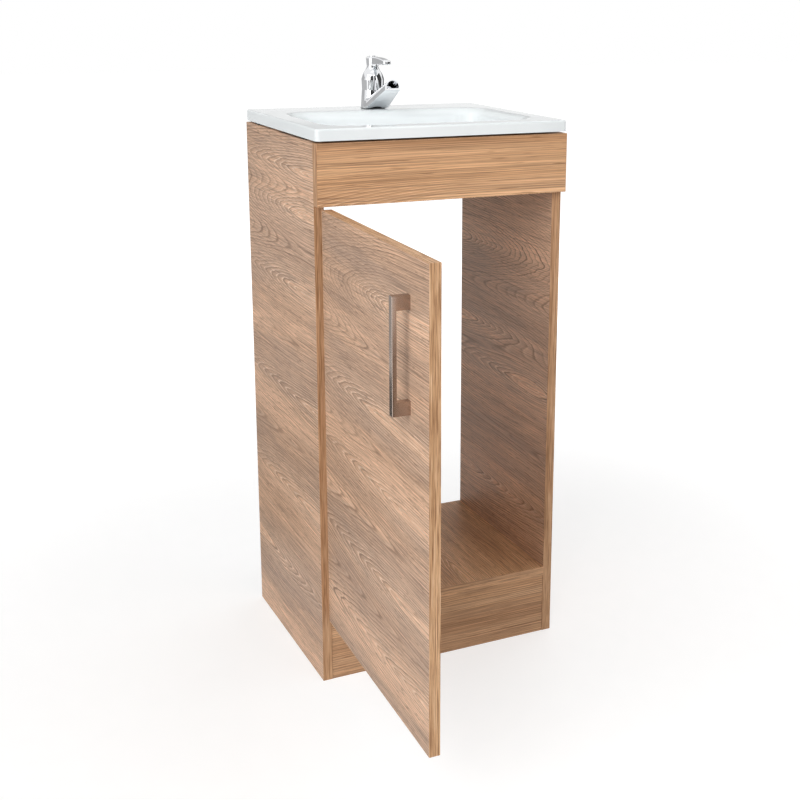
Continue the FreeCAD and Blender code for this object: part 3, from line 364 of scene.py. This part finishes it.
# Lines, ranges and shares of the edge bands
EDGE_LINE_GAP = 0.0034
EDGE_LINE_PUSH = 0.006
EDGE_LINE_SPAN = (0.5, 0.95, 0.0, 0.2)
EDGE_GLEAM_SPAN = (0.32, 0.48, 0.7, 0.0)
EDGE_STREAK_SPAN = (0.51, 0.62, 0.0, 0.65)
EDGE_FIBRE_SPAN = (0.52, 0.7, 0.0, 0.4)
EDGE_GLOSS = (0.2, 0.8, 0.4, 0.55)
EDGE_STOPS = {"deep": 0.25, "mid": 0.5, "pale": 0.75}
EDGE_RELIEF = 0.0001
LYING_SPAN = (0.4, 0.6)


def edging(name, level_axis, seed, tones):
    """Woodgrain edge band: fine lines that run the long way of each strip, lying or standing."""
    g = Wood(name, seed)
    level = g.axes[AXES[level_axis]]
    other = g.axes[AXES["y" if level_axis == "x" else "x"]]
    height = g.axes[AXES["z"]]
    upward = g.split(g.facing)[AXES["z"]]

    # A lying strip runs along its level axis, a standing one along z
    lying = g.span(g.math("ABSOLUTE", upward), *LYING_SPAN)
    standing = g.math("SUBTRACT", 1.0, lying)
    u = g.math("ADD", g.product(level, lying), g.product(height, standing))
    v = g.math("ADD", g.product(other, lying), g.product(g.math("ADD", level, other), standing))
    g.lay(u, v)

    wavering = g.linear(g.grain(EDGE_SWAY), EDGE_LINE_PUSH, v)
    lines = g.math("FRACT", g.math("DIVIDE", wavering, EDGE_LINE_GAP))
    fibre = g.grain(EDGE_FIBRE)
    streak = g.grain(EDGE_STREAKS)
    base = g.bands(g.grain(EDGE_BANDS), EDGE_STOPS, tones)
    base = g.mix(g.span(streak, *EDGE_GLEAM_SPAN), base, tones["gleam"])
    base = g.mix(g.span(lines, *EDGE_LINE_SPAN), base, tones["line"])
    base = g.mix(g.span(streak, *EDGE_STREAK_SPAN), base, tones["line"])
    base = g.mix(g.span(fibre, *EDGE_FIBRE_SPAN), base, tones["line"])
    g.set(Base_Color=base, Roughness=g.span(fibre, *EDGE_GLOSS), Specular_IOR_Level=0.35)
    g.bump(fibre, EDGE_RELIEF, strength=0.5)
    return g.material


# Basin glaze
GLAZE_SHADE = colour(237, 242, 243)
GLAZE_WHITE = colour(242, 246, 247)
GLAZE_ROUGHNESS = (0.06, 0.11)
GLAZE_SPECK = 0.01
GLAZE_RELIEF = 0.0003


def glaze(name):
    """Glossy sanitary glaze with a faint ripple and cloudiness."""
    g = Graph(name)
    cloud = g.noise(g.coords, scale=9.0, detail=3.0)
    ripple = g.noise(g.coords, scale=38.0)
    speck = g.noise(g.coords, scale=900.0, detail=1.0)
    base = g.mottle(cloud, GLAZE_SHADE, GLAZE_WHITE)
    g.set(Base_Color=base, Roughness=g.spread(cloud, *GLAZE_ROUGHNESS), IOR=1.5)
    g.bump(g.linear(speck, GLAZE_SPECK, ripple), GLAZE_RELIEF, strength=0.12)
    return g.material


# Metal: how smudges darken and dull it, and its polishing marks per metre along x, y and z
SMUDGE_SHADE = 0.93
SMUDGE_STOPS = (0.3, 0.65)
SMUDGE_SPAN = (0.4, 0.7)
SMUDGE_DULL = 0.5
EVEN_MARKS = (60.0, 60.0, 60.0)
UPRIGHT_MARKS = (220.0, 220.0, 5.0)
ROLLED_MARKS = (200.0, 200.0, 500.0)


def plated(name, tint, low, high, marks=EVEN_MARKS, depth=0.00004):
    """Plated or bright metal, its roughness from low to high, with polishing marks and smudges."""
    g = Graph(name)
    drawn = [g.product(axis, scale) for axis, scale in zip(g.split(g.coords), marks)]
    polish = g.noise(g.vector(*drawn), detail=3.0, roughness=0.6)
    smudge = g.noise(g.coords, scale=45.0, detail=3.0)
    shades = (tuple(part * SMUDGE_SHADE for part in tint), tint)
    base = g.ramp(smudge, list(zip(SMUDGE_STOPS, shades)))
    gloss = g.linear(g.span(smudge, *SMUDGE_SPAN), SMUDGE_DULL * (high - low), g.spread(polish, low, high))
    g.set(Base_Color=base, Metallic=1.0, Roughness=gloss)
    g.bump(polish, depth, strength=0.3)
    return g.material


# Rubber and soft plastic
WORN_GAIN = 1.5
WORN_LIFT = 0.01
WEAR_STOPS = (0.3, 0.75)
MOULD_RELIEF = 0.0001
MOULD_UNEVEN = 0.08


def moulded(name, tint, rough):
    """Matt rubber or soft plastic with a fine moulded grain."""
    g = Graph(name)
    grain = g.noise(g.coords, scale=900.0)
    wear = g.noise(g.coords, scale=60.0, detail=3.0)
    worn = tuple(min(part * WORN_GAIN + WORN_LIFT, 1.0) for part in tint)
    base = g.ramp(wear, list(zip(WEAR_STOPS, (tint, worn))))
    g.set(Base_Color=base, Roughness=g.spread(grain, rough - MOULD_UNEVEN, rough + MOULD_UNEVEN))
    g.bump(grain, MOULD_RELIEF, strength=0.5)
    return g.material


def board_looks():
    """Materials of the boards, edge bands and dowels."""
    return {
        "side_panel_left": wood("decor_left", "y", "z", seed=1.0, tones=FACE_TONES, figures=LEFT_FIGURES),
        "side_panel_right": wood("decor_right", "y", "z", seed=2.3, tones=FACE_TONES, figures=RIGHT_FIGURES,
                                 force=1.2),
        "door_panel": wood("decor_door", "y", "z", seed=4.1, tones=FACE_TONES, figures=DOOR_FIGURES),
        "fascia_panel": wood("decor_fascia", "x", "z", seed=5.7, tones=FRONT_TONES, figures=FASCIA_FIGURES,
                             gap=0.0028, bend=0.004, band=0.04, run=2.6, force=0.72),
        "base_shelf": wood("decor_shelf", "y", "x", seed=7.9, tones=FRONT_TONES, figures=SHELF_FIGURES),
        "plinth": wood("decor_plinth", "x", "z", seed=9.2, tones=WARM_TONES, gap=0.0036, bend=0.008,
                       band=0.03, run=1.6),
        "front_rail": wood("decor_front_rail", "x", "z", seed=12.4, tones=FACE_TONES),
        "rear_rail": wood("decor_rear_rail", "x", "z", seed=14.6, tones=FACE_TONES),
        "dowels": wood("beech", "x", "z", seed=61.0, tones=WARM_TONES, gap=0.002, bend=0.004),
        "shelf_edge_band": wood("edging_shelf", "x", "z", seed=6.6, tones=WARM_TONES, gap=0.003, bend=0.006),
        "side_edge_bands": edging("edging_sides", "x", seed=3.3, tones=WARM_TONES),
        "fascia_edge_bands": edging("edging_fascia", "x", seed=8.8, tones=FRONT_TONES),
        "door_edge_bands": edging("edging_door", "y", seed=10.1, tones=EDGE_TONES),
    }


def shared_looks():
    """Materials of the basin and of the metal and rubber pieces, each with its nodes."""
    chrome = plated("chrome", tint=(0.86, 0.87, 0.89), low=0.02, high=0.06, depth=0.000004)
    # The handle's brown, dark tint is not the metal's own colour: it is painted reflection of the wood door
    # and painted shade, on top of what the metal really reflects
    nickel_painted_reflection = plated("satin_nickel", tint=(0.46, 0.37, 0.315), low=0.17, high=0.24, marks=UPRIGHT_MARKS,
                    depth=0.000002)
    steel = plated("hinge_steel", tint=(0.66, 0.65, 0.63), low=0.16, high=0.3, marks=ROLLED_MARKS)
    zinc = plated("fixing_steel", tint=(0.62, 0.63, 0.65), low=0.25, high=0.42)
    brass = plated("brass", tint=(0.72, 0.55, 0.27), low=0.2, high=0.36)
    rubber = moulded("black_rubber", tint=(0.02, 0.02, 0.021), rough=0.7)
    clear = moulded("clear_bumper", tint=(0.6, 0.6, 0.57), rough=0.35)
    return {
        glaze("glaze"): ("basin",),
        chrome: ("tap_body", "tap_bonnet", "tap_lever", "tap_lever_cap", "waste_body", "waste_plug"),
        nickel_painted_reflection: ("door_handle",),
        steel: ("hinge_plate_lower", "hinge_plate_upper", "hinge_arm_lower", "hinge_arm_upper",
                "inner_link_lower", "inner_link_upper", "outer_link_lower", "outer_link_upper",
                "hinge_cup_lower", "hinge_cup_upper", "arm_pins", "cup_pins"),
        zinc: ("cam_locks", "cam_bolts", "plinth_brackets", "plinth_bracket_screws", "fascia_screws",
               "handle_screws", "hinge_plate_screws", "hinge_arm_screws", "hinge_cup_screws",
               "tap_lever_screw", "tap_washer"),
        brass: ("tap_spindle", "tap_shank", "tap_backnut", "waste_locknut"),
        rubber: ("waste_gasket", "waste_nut_gasket", "tap_gasket", "basin_pads"),
        clear: ("door_bumpers",),
    }


def dress():
    """Give every node its material."""
    looks = board_looks()
    for material, names in shared_looks().items():
        for name in names:
            looks[name] = material
    for name, obj in nodes.items():
        obj.data.materials.clear()
        obj.data.materials.append(looks[name])


# Floor and surround: the floor glows more with the distance from the cabinet, in metres
FLOOR_SIZE = 30.0
FLOOR_GLOW = (0.6, 2.2, 0.57, 1.0)
FLOOR_GREYS = ((0.5, 0.5, 0.5), (0.52, 0.52, 0.52))
SURROUND_CAST = 0.24


def seen_rays(tree):
    """1 for rays that show a thing straight, mirrored or through glass, and 0 for rays that only light."""
    path = tree.nodes.new("ShaderNodeLightPath")
    total = path.outputs["Is Camera Ray"]
    for name in ("Is Glossy Ray", "Is Transmission Ray"):
        step = tree.nodes.new("ShaderNodeMath")
        step.operation = "MAXIMUM"
        tree.links.new(total, step.inputs[0])
        tree.links.new(path.outputs[name], step.inputs[1])
        total = step.outputs[0]
    return total


def make_floor():
    """Pale floor that takes the shadow and turns white further out."""
    bpy.ops.mesh.primitive_plane_add(size=FLOOR_SIZE)
    floor = bpy.context.object
    floor.name = "floor"
    g = Graph("floor")
    x, y, _ = g.split(g.coords)
    away = g.math("SQRT", g.math("ADD", g.product(x, x), g.product(y, y)))
    glow = g.product(seen_rays(g.tree), g.span(away, *FLOOR_GLOW))
    grey = g.mottle(g.noise(g.coords, scale=30.0), *FLOOR_GREYS)
    g.set(Base_Color=grey, Roughness=0.9, Specular_IOR_Level=0.0)
    g.set(Emission_Color=WHITE, Emission_Strength=glow)
    floor.data.materials.append(g.material)


def make_surround():
    """White surround that casts less light than it shows."""
    world = bpy.data.worlds.new("studio")
    world.use_nodes = True
    scene.world = world
    tree = world.node_tree
    level = tree.nodes.new("ShaderNodeMapRange")
    level.inputs["To Min"].default_value = SURROUND_CAST
    tree.links.new(seen_rays(tree), level.inputs["Value"])
    background = tree.nodes["Background"]
    background.inputs["Color"].default_value = WHITE
    tree.links.new(level.outputs[0], background.inputs["Strength"])


# Square lamps: place, the height on the middle line that they aim at, size in metres and power in watts
Lamp = namedtuple("Lamp", "place aim size power mirrored", defaults=(True,))
LAMPS = {
    "key": Lamp((-3.0, -1.9, 2.2), aim=0.5, size=3.6, power=139.0),
    "front": Lamp((1.2, -3.1, 2.4), aim=0.5, size=3.4, power=42.0),
    "top": Lamp((0.2, 0.1, 3.0), aim=0.8, size=2.0, power=4.0),
    "side": Lamp((3.4, -0.2, 1.5), aim=0.4, size=3.0, power=40.0, mirrored=False),
    "fill": Lamp((2.6, 2.4, 1.9), aim=0.5, size=3.0, power=36.0, mirrored=False),
}

# Studio cards round the tap and the handle: place, what they face, width, height and level of grey
TAP = Vector((0.0, 0.267, 0.92))
GRIP = Vector((-0.2, -0.36, 0.61))
Card = namedtuple("Card", "place target width height level")
CARDS = {
    "card_back_left": Card((-1.0, 1.3, 0.95), TAP, 1.4, 1.1, 0.5),
    "card_back_high": Card((0.7, 1.9, 1.4), TAP, 1.8, 0.7, 0.55),
    "card_back_right": Card((1.3, 0.9, 0.9), TAP, 1.1, 0.9, 0.25),
    "card_grip_front": Card((-0.05, -0.67, 0.4), GRIP, 0.34, 0.3, 0.04),
    "card_grip_side": Card((-0.62, 0.35, 0.62), GRIP, 0.9, 0.5, 0.55),
    "card_grip_low": Card((-0.62, 0.35, 0.1), GRIP, 0.9, 0.5, 0.12),
}

# Cards before the tap: the bearings they stand between, in degrees from -Y towards +X, and level of grey
FRONT_CARDS = {
    "card_front_left": (-64.0, -53.0, 0.2),
    "card_front_mid": (-47.0, -14.0, 0.05),
    "card_front_near": (-5.0, 15.0, 0.03),
    "card_front_right": (27.0, 79.0, 0.03),
}
FRONT_CARD_AWAY = 1.3
FRONT_CARD_RISE = 0.33
FRONT_CARD_HEIGHT = 1.3
CARD_SHADE = 0.9


def aimed(place, target, axis):
    """Turn that points an object's own axis from its place to a target."""
    return (Vector(target) - Vector(place)).to_track_quat(axis, "Y").to_euler()


def add_lamp(name, lamp):
    light = bpy.data.lights.new(name, "AREA")
    light.size = lamp.size
    light.energy = lamp.power
    obj = bpy.data.objects.new(name, light)
    obj.location = lamp.place
    obj.rotation_euler = aimed(lamp.place, (0.0, 0.0, lamp.aim), "-Z")
    obj.visible_glossy = lamp.mirrored
    scene.collection.objects.link(obj)


def add_card(name, card):
    """Grey or dark studio card that only shows in reflections."""
    bpy.ops.mesh.primitive_plane_add(size=1.0)
    board = bpy.context.object
    board.name = name
    board.scale = (card.width, card.height, 1.0)
    board.location = card.place
    board.rotation_euler = aimed(card.place, card.target, "Z")
    board.visible_camera = False
    board.visible_diffuse = False
    board.visible_shadow = False
    g = Graph(name)
    weave = g.noise(g.coords, scale=40.0)
    tone = g.mottle(weave, (card.level * CARD_SHADE,) * 3, (card.level,) * 3)
    g.set(Base_Color=NEAR_BLACK, Roughness=1.0, Emission_Color=tone, Emission_Strength=1.0)
    board.data.materials.append(g.material)


def front_card(low, high, level):
    """Card before the tap that fills the angle between two bearings."""
    bearing = math.radians(low + high) / 2
    half = math.radians(high - low) / 2
    offset = (math.sin(bearing) * FRONT_CARD_AWAY, -math.cos(bearing) * FRONT_CARD_AWAY, FRONT_CARD_RISE)
    width = 2 * FRONT_CARD_AWAY * math.tan(half)
    return Card(TAP + Vector(offset), TAP, width, FRONT_CARD_HEIGHT, level)


def make_lights():
    for name, lamp in LAMPS.items():
        add_lamp(name, lamp)
    for name, stand in FRONT_CARDS.items():
        add_card(name, front_card(*stand))
    for name, card in CARDS.items():
        add_card(name, card)


# Camera fitted to the photograph: its place in metres, its turns, and the photograph's sizes in pixels
CAMERA_PLACE = (-0.7923, -1.7272, 1.0355)
CAMERA_YAW = math.radians(26.74)
CAMERA_PITCH = math.radians(14.08)
CAMERA_ROLL = math.radians(0.68)
PHOTO_SIDE = 800.0
PHOTO_FOCAL = 1293.0
PHOTO_CENTRE_X = 486.2
PHOTO_CENTRE_Y = 316.8


def make_camera():
    """Camera with the photograph's view and framing."""
    ahead = math.cos(CAMERA_PITCH)
    forward = Vector((math.sin(CAMERA_YAW) * ahead, math.cos(CAMERA_YAW) * ahead, -math.sin(CAMERA_PITCH)))
    level = Vector((math.cos(CAMERA_YAW), -math.sin(CAMERA_YAW), 0.0))
    raised = level.cross(forward)
    right = math.cos(CAMERA_ROLL) * level + math.sin(CAMERA_ROLL) * raised
    up = -math.sin(CAMERA_ROLL) * level + math.cos(CAMERA_ROLL) * raised
    lens = bpy.data.cameras.new("camera")
    lens.lens = PHOTO_FOCAL / PHOTO_SIDE * lens.sensor_width
    lens.shift_x = (PHOTO_SIDE / 2 - PHOTO_CENTRE_X) / PHOTO_SIDE
    lens.shift_y = (PHOTO_CENTRE_Y - PHOTO_SIDE / 2) / PHOTO_SIDE
    camera = bpy.data.objects.new("camera", lens)
    turn = Matrix((right, up, -forward)).transposed().to_4x4()
    camera.matrix_world = Matrix.Translation(CAMERA_PLACE) @ turn
    scene.collection.objects.link(camera)
    scene.camera = camera


scene.view_settings.view_transform = "Standard"
dress()
make_floor()
make_surround()
make_lights()
make_camera()
